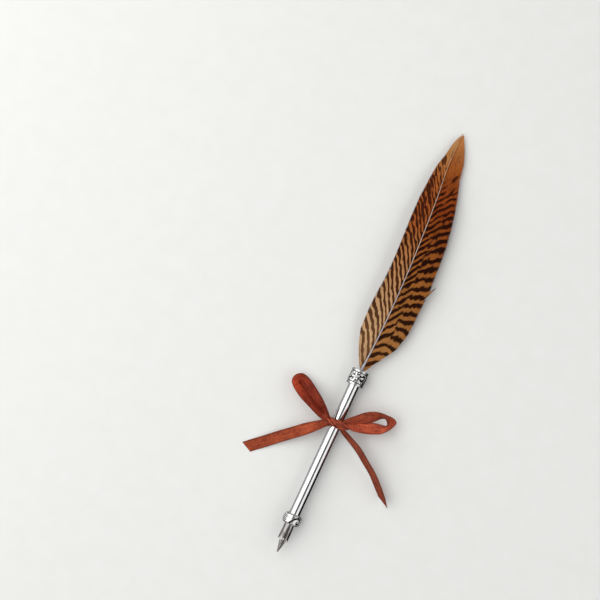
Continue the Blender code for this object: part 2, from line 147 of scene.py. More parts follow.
LEFT_LOOP_TURN = 149.8
LEFT_LOOP = (
    (-0.2, -1.8, -0.2, 0.2), (6, -3.4, 5.6, 0.9), (13.5, -4.5, 12.9, 1.5),
    (21, -5, 20.2, 1.8), (27, -4.7, 24.6, 1.7), (30.8, -3.1, 26, 1.5),
    (32.4, 0.6, 26.6, 1.5), (31.2, 4.2, 26.2, 1.6), (27.4, 5.9, 24.6, 1.5),
    (21.5, 6.1, 20.4, 1.3), (14, 5.3, 13.1, 0.9), (6.5, 4.2, 6, 0.4), (0.2, 2.2, 0.2, 0),
)
# across, station, height of the middle, width, roll of the left side upwards
LEFT_TAIL = (
    (-3, 82.4, 9.2, 2.6, 0), (-4.6, 81.8, 8.8, 3.4, 0), (-7, 80.4, 7.7, 4.5, 1),
    (-10.2, 77.6, 6.7, 5.7, 4), (-15.2, 73.1, 5.5, 7, 6), (-21.3, 67.6, 3.8, 7, 4),
    (-27.7, 62, 2.1, 7, 2), (-34, 56.1, 0.8, 7, 0), (-38.6, 52, 0.25, 7, 0),
    (-43, 48, 0.25, 7, 0),
)
RIGHT_TAIL = (
    (2.2, 82.9, 9.4, 2.6, 40), (3.9, 81.9, 9, 3.4, 46), (6.6, 80.6, 8.3, 4.6, 52),
    (10.9, 78.7, 7.6, 5.8, 58), (17, 75.5, 6.7, 7, 60), (23, 71.8, 5.8, 7, 60),
    (28.6, 67.9, 5, 7, 60), (33.6, 64, 4.3, 7, 60), (38.4, 59.8, 3.6, 7, 59),
    (42.2, 55.8, 3.2, 7, 59), (44.6, 52.8, 3.1, 7, 60),
)
LEFT_TAIL_CUT = (-1.4, 1.4)
RIGHT_TAIL_CUT = (4.0, -3.6)
# across, station, height, half width, half height, roll
KNOT_BAND = (
    (-5.9, 84.6, 9, 1.2, 0.7, 0), (-4.6, 84.1, 10.3, 1.5, 0.8, 0),
    (-2.7, 83.4, 11.5, 1.6, 0.9, 0), (-0.7, 82.9, 12, 1.6, 1, 0),
    (1.1, 82.7, 11.6, 1.5, 0.9, 0), (2.5, 82.7, 10.5, 1.3, 0.8, 0),
    (3.5, 82.8, 9, 1, 0.7, 0),
)
KNOT_LEFT = (
    (-10, 85, 9.4, 1.2, 0.7, 12), (-8.6, 84.1, 10.1, 1.6, 0.9, 10),
    (-7.2, 83.2, 10.4, 1.7, 0.9, 5), (-5.7, 82.5, 10.2, 1.5, 0.8, 0),
    (-4.3, 82, 9.3, 1.1, 0.6, 0),
)
KNOT_RIGHT = (
    (-1.3, 84.9, 10, 0.9, 0.6, 0), (0.4, 84.6, 11.3, 1.2, 0.9, 0),
    (2.6, 84.3, 11.6, 1.3, 1, 0), (4.6, 84.3, 10.8, 1.3, 0.9, 0),
    (6.6, 84.8, 9.8, 1, 0.7, 0),
)
KNOT_LOW = (
    (0.6, 82.4, 10.6, 0.8, 0.6, 0), (2.4, 82.6, 11, 1.1, 0.8, 0),
    (4.4, 83, 10.4, 1.2, 0.8, 0), (6.2, 83.6, 9.6, 1.1, 0.7, 0),
    (7.8, 84.2, 9, 0.8, 0.5, 0),
)


# ---- numbers and meshes

def world(across, station, height):
    """Points in metres from millimetres across, along and above the pen."""
    return np.stack(np.broadcast_arrays(across, np.subtract(station, HALF), height), -1) * MM


def ends_of(node):
    """The stations of a CAD node's two ends."""
    return [corner.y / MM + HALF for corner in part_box(node)]


def smooth_rows(rows, samples):
    """Rows of numbers made finer, on Catmull-Rom curves through the given ones."""
    rows = np.asarray(rows, float)
    ends = np.vstack([rows[:1], rows, rows[-1:]])
    t = np.arange(samples)[:, None] / samples
    fine = []
    for a, b, c, d in zip(ends, ends[1:], ends[2:], ends[3:]):
        fine.append(0.5 * (
            2 * b + (c - a) * t + (2 * a - 5 * b + 4 * c - d) * t ** 2
            + (3 * b - a - 3 * c + d) * t ** 3
        ))
    return np.vstack([*fine, rows[-1:]])


def reader(table):
    """A function that reads a table at stations, and gives one array for each column."""
    fine = smooth_rows(table, 12)

    def read(station):
        return [np.interp(station, fine[:, 0], column) for column in fine[:, 1:].T]
    return read


def smooth_step(low, high, value):
    t = np.clip((np.asarray(value) - low) / (high - low), 0.0, 1.0)
    return t * t * (3 - 2 * t)


def bell(x, spread):
    return np.exp(-(x / spread) ** 2)


def unit(vectors):
    return vectors / np.maximum(np.linalg.norm(vectors, axis=-1, keepdims=True), 1e-12)


def turns(steps):
    """Angles, evenly spaced round a full turn."""
    return np.arange(steps) / steps * 2 * math.pi


def grid_faces(rows, columns, wrap_rows=False, wrap_columns=False):
    """The quads of a grid of points that are numbered row by row."""
    row = np.arange(rows if wrap_rows else rows - 1)[:, None]
    column = np.arange(columns if wrap_columns else columns - 1)
    low = row * columns
    high = (row + 1) % rows * columns
    right = (column + 1) % columns
    return np.stack([low + column, low + right, high + right, high + column], -1).reshape(-1, 4)


def rework(mesh, change):
    """Runs a bmesh change on a mesh."""
    bm = bmesh.new()
    bm.from_mesh(mesh)
    change(bm)
    bm.to_mesh(mesh)
    bm.free()


def add_mesh(name, points, faces, material, numbers=None, outward=True):
    """An object from points in metres, with a number for each point under each attribute."""
    mesh = bpy.data.meshes.new(name)
    mesh.from_pydata(np.reshape(points, (-1, 3)).tolist(), [], [*map(list, faces)])
    if outward:
        rework(mesh, lambda bm: bmesh.ops.recalc_face_normals(bm, faces=bm.faces))
    for key, values in (numbers or {}).items():
        layer = mesh.attributes.new(key, "FLOAT", "POINT")
        layer.data.foreach_set("value", np.asarray(values, np.float32).ravel())
    mesh.shade_smooth()
    mesh.materials.append(material)
    obj = bpy.data.objects.new(name, mesh)
    bpy.context.scene.collection.objects.link(obj)
    return obj


def thicken(obj, thickness):
    solidify = obj.modifiers.new("thickness", "SOLIDIFY")
    solidify.thickness = thickness * MM
    solidify.offset = 0.0
    solidify.use_even_offset = True


def add_piece(obj, body, slot, *nodes):
    """Names the body that a piece rides on and hides the CAD nodes that it stands for. The slot, its
    finish, is not used.
    """
    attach(obj, body)
    if nodes:
        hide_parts(*nodes)


# ---- material nodes

def srgb(red, green, blue):
    """A shader's colour from the three bytes of a screen colour."""
    parts = [c / 255 for c in (red, green, blue)]
    return tuple(((c + 0.055) / 1.055) ** 2.4 if c > 0.04 else c / 12.92 for c in parts) + (1.0,)


def put(tree, item, socket):
    """Links a value to a socket, or sets the socket to a plain number or colour."""
    if isinstance(item, Value):
        item = item.socket
    if isinstance(item, bpy.types.NodeSocket):
        tree.links.new(item, socket)
    else:
        socket.default_value = item


class Value:
    """A number that a material's nodes work out. Sums and products of values add Math nodes."""

    def __init__(self, tree, socket):
        self.tree = tree
        self.socket = socket

    def math(self, operation, *others):
        made = self.tree.nodes.new("ShaderNodeMath")
        made.operation = operation
        for socket, item in zip(made.inputs, (self, *others)):
            put(self.tree, item, socket)
        return Value(self.tree, made.outputs[0])

    def __add__(self, other):
        return self.math("ADD", other)

    def __sub__(self, other):
        return self.math("SUBTRACT", other)

    def __mul__(self, other):
        return self.math("MULTIPLY", other)

    def __truediv__(self, other):
        return self.math("DIVIDE", other)

    def most(self, other):
        return self.math("MAXIMUM", other)

    def wave(self):
        """A sine of this many turns."""
        return (self * (2 * math.pi)).math("SINE")

    def step(self, low, high):
        """0 below low, 1 above high, and a smooth rise between them."""
        made = self.tree.nodes.new("ShaderNodeMapRange")
        made.interpolation_type = "SMOOTHSTEP"
        for key, item in (("Value", self), ("From Min", low), ("From Max", high)):
            put(self.tree, item, made.inputs[key])
        return Value(self.tree, made.outputs[0])

    def fall(self, low, high):
        """1 below low, 0 above high, and a smooth fall between them."""
        return self.step(low, high) * -1.0 + 1.0


class Paint:
    """A material whose pattern is put together from nodes."""

    def __init__(self, name, **constants):
        self.material = bpy.data.materials.new(name)
        self.material.use_nodes = True
        self.tree = self.material.node_tree
        self.shader = self.tree.nodes["Principled BSDF"]
        for key, value in constants.items():
            key = key.replace("_", " ").title().replace("Ior", "IOR")
            self.shader.inputs[key].default_value = value

    def attribute(self, name):
        made = self.tree.nodes.new("ShaderNodeAttribute")
        made.attribute_name = name
        return Value(self.tree, made.outputs["Fac"])

    def place(self):
        """The point in the object's own space, which moves with it."""
        return self.tree.nodes.new("ShaderNodeTexCoord").outputs["Object"]

    def axes(self):
        """The three coordinates of the point in the object's own space."""
        made = self.tree.nodes.new("ShaderNodeSeparateXYZ")
        put(self.tree, self.place(), made.inputs[0])
        return [Value(self.tree, socket) for socket in made.outputs]

    def noise(self, vector, scale=1.0, detail=2.0, roughness=0.5):
        """Noise about zero, from about -0.5 to 0.5, over a point or three values."""
        if isinstance(vector, tuple):
            made = self.tree.nodes.new("ShaderNodeCombineXYZ")
            for item, socket in zip(vector, made.inputs):
                put(self.tree, item, socket)
            vector = made.outputs[0]
        made = self.tree.nodes.new("ShaderNodeTexNoise")
        put(self.tree, vector, made.inputs["Vector"])
        for key, value in zip(("Scale", "Detail", "Roughness"), (scale, detail, roughness)):
            put(self.tree, value, made.inputs[key])
        return Value(self.tree, made.outputs["Fac"]) - 0.5

    def grain(self, scale, detail=3.0, roughness=0.5):
        """Noise of the same size in every direction."""
        return self.noise(self.place(), scale, detail, roughness)

    def curve(self, value, span, points):
        """A smooth curve through points, over values from 0 to span."""
        made = self.tree.nodes.new("ShaderNodeFloatCurve")
        scale = max(abs(y) for _, y in points) or 1.0
        put(self.tree, value / span, made.inputs["Value"])
        line = made.mapping.curves[0]
        made.mapping.clip_min_y = -1.0
        made.mapping.use_clip = False
        for index, (x, y) in enumerate(points):
            if index < 2:
                line.points[index].location = (x / span, y / scale)
            else:
                line.points.new(x / span, y / scale)
        made.mapping.update()
        return Value(self.tree, made.outputs[0]) * scale

    def ramp(self, value, stops, mode="EASE"):
        """The colour at a value, from rows of a place from 0 to 1 and the colour's three bytes."""
        made = self.tree.nodes.new("ShaderNodeValToRGB")
        made.color_ramp.interpolation = mode
        put(self.tree, value, made.inputs[0])
        elements = made.color_ramp.elements
        while len(elements) < len(stops):
            elements.new(0.5)
        for element, (place, *colour) in zip(elements, stops):
            element.position = place
            element.color = srgb(*colour)
        return made.outputs[0]

    def mix(self, share, first, second):
        made = self.tree.nodes.new("ShaderNodeMix")
        made.data_type = "RGBA"
        for index, item in ((0, share), (6, first), (7, second)):
            put(self.tree, item, made.inputs[index])
        return made.outputs[2]

    def vary(self, noise, first, second):
        """A colour that wanders between two colours given in bytes."""
        return self.mix(noise + 0.5, srgb(*first), srgb(*second))

    def tint(self, colour, value):
        """The colour made lighter or darker by a value about 1."""
        made = self.tree.nodes.new("ShaderNodeVectorMath")
        made.operation = "SCALE"
        put(self.tree, colour, made.inputs[0])
        put(self.tree, value, made.inputs["Scale"])
        return made.outputs[0]

    def finish(self, colour, roughness, height, distance, strength=0.5):
        """Links the pattern to the shader, with bumps so many metres high."""
        made = self.tree.nodes.new("ShaderNodeBump")
        put(self.tree, height, made.inputs["Height"])
        made.inputs["Distance"].default_value = distance
        made.inputs["Strength"].default_value = strength
        for key, item in (("Base Color", colour), ("Roughness", roughness),
                          ("Normal", made.outputs[0])):
            put(self.tree, item, self.shader.inputs[key])
        return self.material


# ---- metal and plastic finishes

def polished_tube():
    """Plated tube: fine lengthwise polishing lines, a few scratches and faint smudges."""
    paint = Paint("polished_tube", metallic=1.0)
    x, y, z = paint.axes()
    lines = paint.noise((x, y * 0.02, z), 9000.0, 3.0)
    smudge = paint.grain(160.0)
    marks = paint.noise((x + y * 0.5, y * 0.06, z), 2600.0, 1.0).step(0.26, 0.32)
    return paint.finish(
        paint.vary(smudge, (222, 221, 219), (236, 236, 237)),
        lines * 0.05 + smudge * 0.06 + marks * 0.12 + 0.13, lines * 0.3 + marks, 0.000004)


def antique_silver():
    """Cast alloy: bright on the relief's high parts and blackened in its recesses."""
    paint = Paint("antique_cast_silver", metallic=1.0)
    grain = paint.grain(1500.0, 4.0, 0.6)
    stain = paint.grain(420.0)
    dark = (paint.attribute("recess") + grain * 0.35 + stain * 0.3).step(0.35, 0.75)
    worn = paint.vary(stain, (205, 204, 200), (238, 238, 236))
    return paint.finish(paint.mix(dark, worn, srgb(22, 20, 19)),
                        dark * 0.4 + grain * 0.12 + 0.22, grain + stain * 0.4, 0.00006)


def nib_steel():
    """Stamped and tempered steel: drawing lines along the nib, a faint warm tint and painted shade
    in its pressed marks.
    """
    paint = Paint("stamped_nib_steel", metallic=1.0)
    x, y, z = paint.axes()
    lines = paint.noise((x, y * 0.06, z), 5200.0, 3.0)
    pressed_shade = paint.attribute("recess")
    base = paint.vary(paint.grain(260.0, 2.0), (140, 136, 134), (172, 168, 166))
    # Painted shade: the pressed chevrons and window are darkened towards near black.
    return paint.finish(paint.mix(pressed_shade, base, srgb(46, 38, 35)),
                        lines * 0.14 + pressed_shade * 0.15 + 0.21, lines, 0.00001)


def holder_steel():
    """Turned steel: fine rings from the lathe."""
    paint = Paint("turned_holder_steel", metallic=1.0)
    rings = (paint.axes()[1] * 9000.0).wave()
    grain = paint.grain(900.0)
    return paint.finish(paint.vary(grain, (150, 150, 152), (184, 184, 186)),
                        grain * 0.2 + 0.38, rings * 0.5 + grain, 0.00001)


def bush_plastic():
    paint = Paint("moulded_bush_plastic")
    grain = paint.grain(1400.0, 4.0)
    cloud = paint.grain(120.0, 2.0)
    return paint.finish(paint.vary(cloud, (214, 208, 192), (230, 226, 214)),
                        grain * 0.25 + 0.5, grain, 0.00003, 0.4)


def clear_glue():
    paint = Paint("set_glue", coat_weight=0.4)
    cloud = paint.grain(700.0, 3.0, 0.6)
    return paint.finish(paint.vary(cloud, (150, 128, 92), (206, 190, 152)),
                        cloud * 0.3 + 0.25, cloud, 0.0002)


# ---- feather and ribbon finishes

COLOURS_FROM = 118.0             # station where the vanes' colours start
COLOURS_LENGTH = 156.0
BARS_FROM = 120.0


def quill_keratin():
    """Horn-like shaft: greyish at the base, warmer and paler towards the tip, with painted shade
    along its underside.
    """
    paint = Paint("quill_keratin", subsurface_weight=0.15, subsurface_scale=0.001,
                  specular_ior_level=0.6)
    x, y, z = paint.axes()
    fibre = paint.noise((x, y * 0.04, z), 7000.0, 3.0)
    length = SHAFT[-1][0] + 2.0 - SHAFT[0][0]
    along = paint.ramp((paint.attribute("station") - float(SHAFT[0][0])) / length, (
        (0, 214, 205, 190), (0.12, 170, 163, 168), (0.42, 172, 160, 160), (0.7, 206, 180, 164),
        (1, 214, 160, 112),
    ))
    # Painted shade: the underside of the shaft is darkened towards a dark brown.
    painted_under_shade = paint.mix(paint.attribute("shade_below").step(0.18, 0.45), along, srgb(96, 72, 58))
    return paint.finish(paint.tint(painted_under_shade, fibre * 0.5 + paint.grain(240.0, 2.0) * 0.3 + 1.0),
                        fibre * 0.3 + 0.36, fibre, 0.00003, 0.6)


class VanePaint(Paint):
    """The shared part of the two vanes: numbers that follow the barbs, and the final mix."""

    def __init__(self, name, seed):
        super().__init__(name, specular_ior_level=0.05)
        self.station = self.attribute("station")
        self.lateral = self.attribute("lateral")
        self.barb = self.attribute("barb")
        self.along = self.attribute("along")
        self.seed = seed

    def warp(self, coarse_s, coarse_l, offset, detail=1.0):
        """Noise over the vane, whose features are about so many millimetres long and wide."""
        place = self.station / coarse_s, self.lateral / coarse_l, self.seed + offset
        return self.noise(place, 1.0, detail)

    def streaks(self):
        """Noise that differs from barb to barb and changes slowly along each."""
        return self.noise((self.barb * 400.0, self.along * 2.2, self.seed))

    def bars(self, x, closer, level):
        """Dark bars, 1 in the dark, about 6 mm apart low on the vane and closer further up."""
        past = x - BARS_FROM
        wave = (past * 0.158 + past * past * closer).wave()
        return (wave - level).step(-0.3, 0.3)

    def blot(self, at, aside, length, width):
        """A dark spot, drawn out along the barbs."""
        beside = self.lateral - aside
        s = (self.station - at - beside * 1.4) / length
        u = beside / width
        return (s * s + u * u + self.warp(1.4, 1.0, 33.0) * 2.4).fall(0.6, 1.4)

    def cover(self, dark, light_stops, dark_stops, shaft_shade, shaft_side):
        """The finished vane: light and dark colours along it, and shade beside the shaft."""
        share = (self.station - COLOURS_FROM) / COLOURS_LENGTH
        light = self.ramp(share, light_stops, "LINEAR")
        deep = self.ramp(share, dark_stops, "LINEAR")
        streaks = self.streaks()
        hue = self.warp(13.0, 5.0, 41.0) + self.warp(4.0, 1.6, 44.0, 2.0) * 0.7
        light = self.mix(hue + 0.35, light, self.tint(light, 0.74))
        colour = self.mix(dark, self.tint(light, streaks * 0.6 + 1.06), deep)
        shade = self.lateral.step(0.0, shaft_side) * (1.04 - shaft_shade) + shaft_shade
        shade = shade * (self.warp(24.0, 9.0, 21.0) * 0.3 + 1.0)
        barbules = (self.along * 90.0 + self.barb * 7.0).wave()
        return self.finish(self.tint(colour, shade), streaks * 0.2 + 0.76,
                           barbules * 0.25 + streaks, 0.00003, 0.4)


def vane_rust():
    """Right vane: bold dark bars that cross the barbs and break in the middle of the vane."""
    paint = VanePaint("feather_rust_barred", 3.0)
    station, lateral = paint.station, paint.lateral
    serration = (paint.barb - 0.5) * 0.8 + paint.streaks() * 1.8
    x = station + paint.warp(9.0, 5.0, 0.0) * 4.4 + paint.warp(3.4, 2.2, 2.0) * 1.5 + serration
    arc, apart, steep = (paint.curve(lateral, 18.0, points) for points in (
        ((0, 0), (2.5, 2.6), (5.5, 4.6), (8.5, 5), (12, 4.4), (18, 3.4)),
        ((0, 0.6), (5, 2.8), (8, 3.8), (12.5, 5.2), (18, 6.8)),
        ((0, 0), (2.5, 3.4), (5.5, 7.4), (8.5, 10.6), (12, 13.6), (18, 17)),
    ))
    inner = arc + (steep - arc) * station.step(132.0, 164.0)
    outer = arc + (apart - arc) * station.step(142.0, 160.0)
    outer = outer + (steep - apart) * station.step(166.0, 226.0)
    row = lateral + paint.warp(6.0, 4.0, 5.0) * 5.0
    chaos = station.step(192.0, 226.0) * 2.2 + station.step(132.0, 150.0) * 1.5 + 0.7
    level = paint.warp(4.4, 2.6, 7.0, 2.0) * chaos + station.step(224.0, 248.0) * 1.1
    level = level - station.step(138.0, 170.0) * 0.3 + paint.curve(lateral, 18.0, (
        (0, 0), (3, 0), (6.2, 0.46), (8.5, 0.1), (12, 0.02), (15, 0.1), (18, 0.3),
    ))
    near = paint.bars(x - inner, 0.00036, level) * row.fall(5.6, 7.2)
    far = paint.bars(x - outer, 0.00036, level) * row.step(4.8, 6.2)
    dark = near.most(far) * station.fall(239.0, 250.0)
    for spot in ((238.6, 7.2, 1.9, 1.4), (247.0, 6.6, 2.0, 1.6)):
        dark = dark.most(paint.blot(*spot) * 0.9)
    specks = (paint.streaks() + paint.warp(2.4, 0.8, 12.0, 2.0)).step(-0.04, 0.24)
    specks = specks * (lateral.step(4.0, 9.0) * -0.6 + 1.0) * station.fall(258.0, 270.0)
    dark = dark.most(specks * station.step(232.0, 246.0) * 0.6)
    return paint.cover(
        dark,
        ((0, 178, 120, 66), (0.154, 180, 120, 64), (0.27, 168, 108, 54), (0.397, 164, 100, 45),
         (0.506, 156, 87, 36), (0.603, 146, 74, 26), (0.7, 140, 62, 20), (0.795, 152, 74, 28),
         (0.865, 174, 96, 42), (0.942, 182, 116, 64), (1, 198, 130, 78)),
        ((0, 66, 37, 18), (0.154, 46, 22, 8), (0.397, 42, 15, 5), (0.506, 38, 11, 5),
         (0.7, 48, 16, 6), (1, 60, 26, 10)),
        0.74, 1.6,
    )


def vane_tan():
    """Left vane: slanting dark and pale stripes that nearly follow the barbs and fork."""
    paint = VanePaint("feather_tan_striped", 11.0)
    station, lateral = paint.station, paint.lateral
    slant = station - paint.curve(lateral, 13.0, (
        (0, 0), (3, 6.2), (6, 12), (8.5, 16.2), (10.5, 18.4), (13, 20),
    ))
    serration = (paint.barb - 0.5) * 0.5
    x = slant + paint.warp(13.0, 7.0, 0.0) * 7.0 + paint.warp(4.8, 2.4, 4.0) * 3.4 + serration
    chaos = station.step(160.0, 205.0)
    wild = station.step(198.0, 226.0)
    fibres = paint.noise((slant / 1.7, lateral / 3.6, 30.0))
    level = paint.warp(6.0, 2.2, 7.0, 2.0) * (chaos * 1.6 + 0.9)
    level = level + fibres * (chaos * 2.4 + wild * 3.0 + 0.7) - wild * 0.2 - 0.12
    level = level + paint.warp(7.0, 3.4, 17.0, 2.0) * wild * 2.8 + station.step(234.0, 262.0)
    edge = lateral.step(9.4, 11.2) * station.step(148.0, 160.0) * station.fall(232.0, 246.0) * 0.7
    dark = paint.bars(x, 0.00022, level - edge) * station.fall(256.0, 266.0)
    dark = dark.most(paint.blot(255.4, 3.3, 2.4, 1.5) * 0.9)
    dark = dark.most(paint.blot(241.0, 6.6, 1.8, 1.2) * 0.7)
    return paint.cover(
        dark,
        ((0, 168, 128, 90), (0.154, 196, 158, 116), (0.27, 190, 148, 106), (0.397, 178, 129, 84),
         (0.506, 168, 110, 62), (0.603, 152, 82, 36), (0.7, 148, 76, 30), (0.795, 164, 92, 42),
         (0.865, 174, 112, 60), (0.942, 182, 132, 82), (1, 196, 146, 98)),
        ((0, 100, 68, 42), (0.154, 96, 62, 38), (0.27, 76, 43, 23), (0.397, 64, 31, 12),
         (0.506, 56, 23, 8), (0.7, 64, 26, 10), (1, 84, 40, 18)),
        0.78, 1.3,
    )


def satin(name, colour, deep, painted_light_along):
    """Woven satin: long floats of shiny warp over a fine weft, with a firm selvedge.
    The last argument paints light and shade onto the cloth, lighter or darker at millimetres along
    it.
    """
    paint = Paint(name, sheen_weight=0.02, sheen_roughness=0.4, specular_ior_level=0.12)
    along, across, crease = map(paint.attribute, ("along", "across", "crease"))
    warp = paint.noise((along * 0.1, across * 2.6), 1.0, 3.0)
    slub = paint.noise((along * 1.5, across * 0.35, 4.0))
    cloud = paint.noise((along * 0.22, across * 0.3, 9.0))
    gleam = paint.noise((along * 0.16, across * 0.9, 15.0))
    thread = (across * 5.2 + along * 0.4).wave() * 0.5 + (along * 4.6 + across * 1.4).wave() * 0.6
    edge = across.math("ABSOLUTE")
    selvedge = edge.step(2.9, 3.25)
    # Warp, slub and cloud are the cloth's own tone; gleam paints sheen streaks along the cloth, a
    # painted highlight.
    shade = warp * 1.35 + slub * 0.9 + cloud * 0.8 + gleam * 1.2 + thread * 0.07 + 0.56
    # Painted shade: the cloth darkens where the knot's strands crease and turn under.
    shade = (shade - crease * 0.7).math("MINIMUM", 1.0).most(0.0)
    # Painted light and shade along the cloth, and darker towards both edges.
    tone = paint.curve(along, painted_light_along[-1][0], painted_light_along) * (edge.step(2.5, 3.3) * -0.42 + 1.0)
    return paint.finish(
        paint.tint(paint.mix(shade, srgb(*deep), srgb(*colour)), tone),
        warp * 0.2 + selvedge * 0.12 + 0.4,
        thread + warp * 1.2 + slub * 0.8 + selvedge * 1.5, 0.00005, 0.6)


# ---- metal parts

RING_R = 5.2                     # mean radius of the two cast beads
BARREL_WALL = 0.25


def lathe(name, stations, radii, material, numbers=None, steps=128):
    """A closed ring about the pen's axis. Radii are one number a row, or one for each point."""
    angle = turns(steps)
    stations = np.asarray(stations, float)[:, None]
    radii = np.asarray(radii, float)
    if radii.ndim == 1:
        radii = radii[:, None]
    points = world(radii * np.sin(angle), stations, AXIS_Z + radii * np.cos(angle))
    faces = grid_faces(len(stations), steps, wrap_rows=True, wrap_columns=True)
    return add_mesh(name, points, faces, material, numbers)


def make_barrel(material):
    """A plain drawn tube with turned edges."""
    start, end, edge = BARREL_START, BARREL_END, 0.12
    bore = BARREL_R - BARREL_WALL
    middle = np.linspace(start + 0.6, end - 0.6, 60)
    profile = [(start, bore + edge), (start, BARREL_R - edge), (start + edge, BARREL_R)]
    profile += [(station, BARREL_R) for station in middle]
    profile += [(end - edge, BARREL_R), (end, BARREL_R - edge), (end, bore + edge)]
    profile += [(station, bore) for station in (end - edge, *middle[::-6], start + edge)]
    obj = lathe("barrel_tube", *np.array(profile).T, material)
    obj.data.set_sharp_from_angle(angle=math.radians(40))
    return obj


def round_ring(angle, places, shift):
    """Millimetres round a bead from the nearest of some evenly spaced places."""
    part = 2 * math.pi / places
    return (np.mod(angle + shift + part / 2, part) - part / 2) * RING_R


def cast_ring(name, low, offset, radius, recess, bore, bore_recess, material):
    """A closed ring of cast metal, from its outside and its bore's offsets and radii."""
    steps = radius.shape[1]
    bore_offset, bore_radius = np.array(bore).T
    radii = np.vstack([radius, np.repeat(bore_radius[:, None], steps, 1)])
    shade = np.vstack([recess, np.full((len(bore), steps), bore_recess)])
    return lathe(name, low + np.hstack([offset, bore_offset]), radii, material,
                 {"recess": shade}, steps)


def scroll_line(length, growth):
    """An S that winds up at both ends, as across and along arrays about its middle."""
    samples = 90
    s = np.linspace(-length, length, samples)
    heading = growth * s * s
    step = s[1] - s[0]
    x = np.cumsum(np.cos(heading)) * step
    y = np.cumsum(np.sin(heading) * np.sign(s)) * step
    middle = samples // 2
    return x - x[middle], y - y[middle]


def distance_to(line, u, v, turn=0.0):
    """How far each point is from a line of points that is turned by some radians."""
    x, y = line
    c, s = math.cos(turn), math.sin(turn)
    nearest = np.full(np.broadcast(u, v).shape, 1e9)
    for a, b in zip(x * c - y * s, x * s + y * c):
        nearest = np.minimum(nearest, (u - a) ** 2 + (v - b) ** 2)
    return np.sqrt(nearest)


def rosette(u, v):
    """Depth, from 0 to 1, of the strokes that draw a five-petal flower about the origin."""
    fifth = 2 * math.pi / 5
    turn = np.mod(np.arctan2(u, v) + 0.25, fifth) - fifth / 2
    reach = np.hypot(u, v)
    aside = np.abs(reach * np.sin(turn))
    out = reach * np.cos(turn)
    petal = smooth_step(0.42, 0.2, np.abs(aside - 0.52 * (out - 1.3)))
    petal = petal * smooth_step(1.15, 1.4, out) * smooth_step(3.1, 2.85, out)
    heart = smooth_step(0.22, 0.1, np.abs(reach - 0.6))
    return np.maximum(petal, heart * 0.45)


def make_ferrule(material):
    """A cast bead: rosettes and scrolls cut between two grooved rims."""
    low, high = ends_of("upper_ferrule")
    outline = np.array((          # offset, radius
        (0, 4.9), (0.2, 5.12), (0.5, 5.18), (0.64, 5.02), (0.78, 5.18), (1.25, 5.2), (1.42, 5.08),
        (1.5, 4.7), (1.75, 4.78), (4.8, 5), (7.85, 4.78), (8.1, 4.7), (8.18, 5.08), (8.35, 5.2),
        (8.82, 5.18), (8.96, 5.02), (9.1, 5.18), (9.4, 5.12), (9.6, 4.9),
    ))
    offset = np.linspace(0.0, high - low, 112)
    base = np.interp(offset, *outline.T)[:, None]
    angle = turns(420)
    v = (offset - offset[-1] / 2)[:, None]
    beside = round_ring(angle, 3, 0.26 - math.pi / 3)
    cut = rosette(round_ring(angle, 3, 0.26), v)
    scroll = distance_to(scroll_line(2.8, 0.36), beside, v, 1.15)
    cut = np.maximum(cut, smooth_step(0.72, 0.42, scroll))
    for sign in (1, -1):
        leaf = distance_to(scroll_line(1.3, 0.8), beside - 1.75 * sign, v + 1.3 * sign, 0.4)
        seed = np.hypot(beside - 0.9 * sign, v - 2.3 * sign)
        cut = np.maximum(cut, smooth_step(0.56, 0.3, leaf))
        cut = np.maximum(cut, 0.8 * smooth_step(0.5, 0.3, seed))
    window = smooth_step(3.12, 2.95, np.abs(v))
    cut = cut * window
    dimple = 0.04 * np.sin(angle * 23 + 3 * v) * np.sin(angle * 9 - 2 * v)
    radius = base + window * (0.42 * (1 - cut) + dimple)
    recess = smooth_step(0.15, 0.55, cut) + 0 * angle
    recess = np.where(np.abs(np.abs(v) - 3.22) < 0.26, 1.0, recess)
    recess = np.where((np.abs(v) > 3.4) & (base < 5.1), 0.6, recess)
    recess[[0, -1]] = 0.1
    bore = ((9.52, 4.7), (9.4, 4.5), (9.4, 2.95), (9.2, 2.6), (8.4, 2.6), (8.4, SLEEVE_R),
            (0, SLEEVE_R), (0, 4.6))
    return cast_ring("ferrule_casting", low, offset, radius, recess, bore, 0.3, material)


COLLAR_CREST = (                 # round the ring from the wave's middle, and along the pen
    (-4.2, -2.3), (-3, -0.9), (-1.9, 0.8), (0.2, 1.8), (2.3, 1.2), (2.9, -0.3), (1.9, -1.5),
    (0.5, -1.5), (0.1, -0.7),
)


def make_collar(material):
    """A stout ring with a curling wave cut on each side, and rope twists between the waves."""
    low, high = ends_of("lower_collar")
    outline = (                   # offset, radius
        (0, 4), (0.3, 4.5), (0.9, 5), (1.7, 5.28), (3.3, 5.36), (5, 5.3), (5.8, 5.05),
        (6.3, 4.6), (6.7, 4),
    )
    offset = np.linspace(0.0, high - low, 84)
    base = np.interp(offset, *smooth_rows(outline, 6).T)[:, None]
    angle = turns(380)
    v = (offset - offset[-1] / 2)[:, None]
    u = round_ring(angle, 2, -0.62)
    rope_at = round_ring(angle, 2, 1.22)
    wave = smooth_step(0.6, 0.32, distance_to(smooth_rows(COLLAR_CREST, 10).T, u, v))
    eye = smooth_step(0.8, 0.3, np.hypot(u - 1.2, v - 0.1))
    rope_zone = smooth_step(3.4, 2.6, np.abs(rope_at))
    rope = rope_zone * (0.5 - 0.5 * np.cos(2 * math.pi * (rope_at - 0.75 * v) / 1.5)) ** 3
    lip = smooth_step(0.22, 0.1, np.abs(np.abs(v) - 2.72))
    cut = np.clip(np.maximum(wave, rope) + 0.5 * lip, 0, 1)
    radius = base - 0.55 * cut + 0.25 * eye * (1 - wave) + 0.15 * rope_zone * (1 - rope)
    recess = 0.95 * smooth_step(0.3, 0.75, np.clip(wave + rope + 0.75 * lip, 0, 1))
    bore = ((6.7, SLEEVE_R), (1.5, SLEEVE_R), (1.5, 3.35), (0, 3.35))
    return cast_ring("collar_casting", low, offset, radius, recess, bore, 0.4, material)


# ---- nib

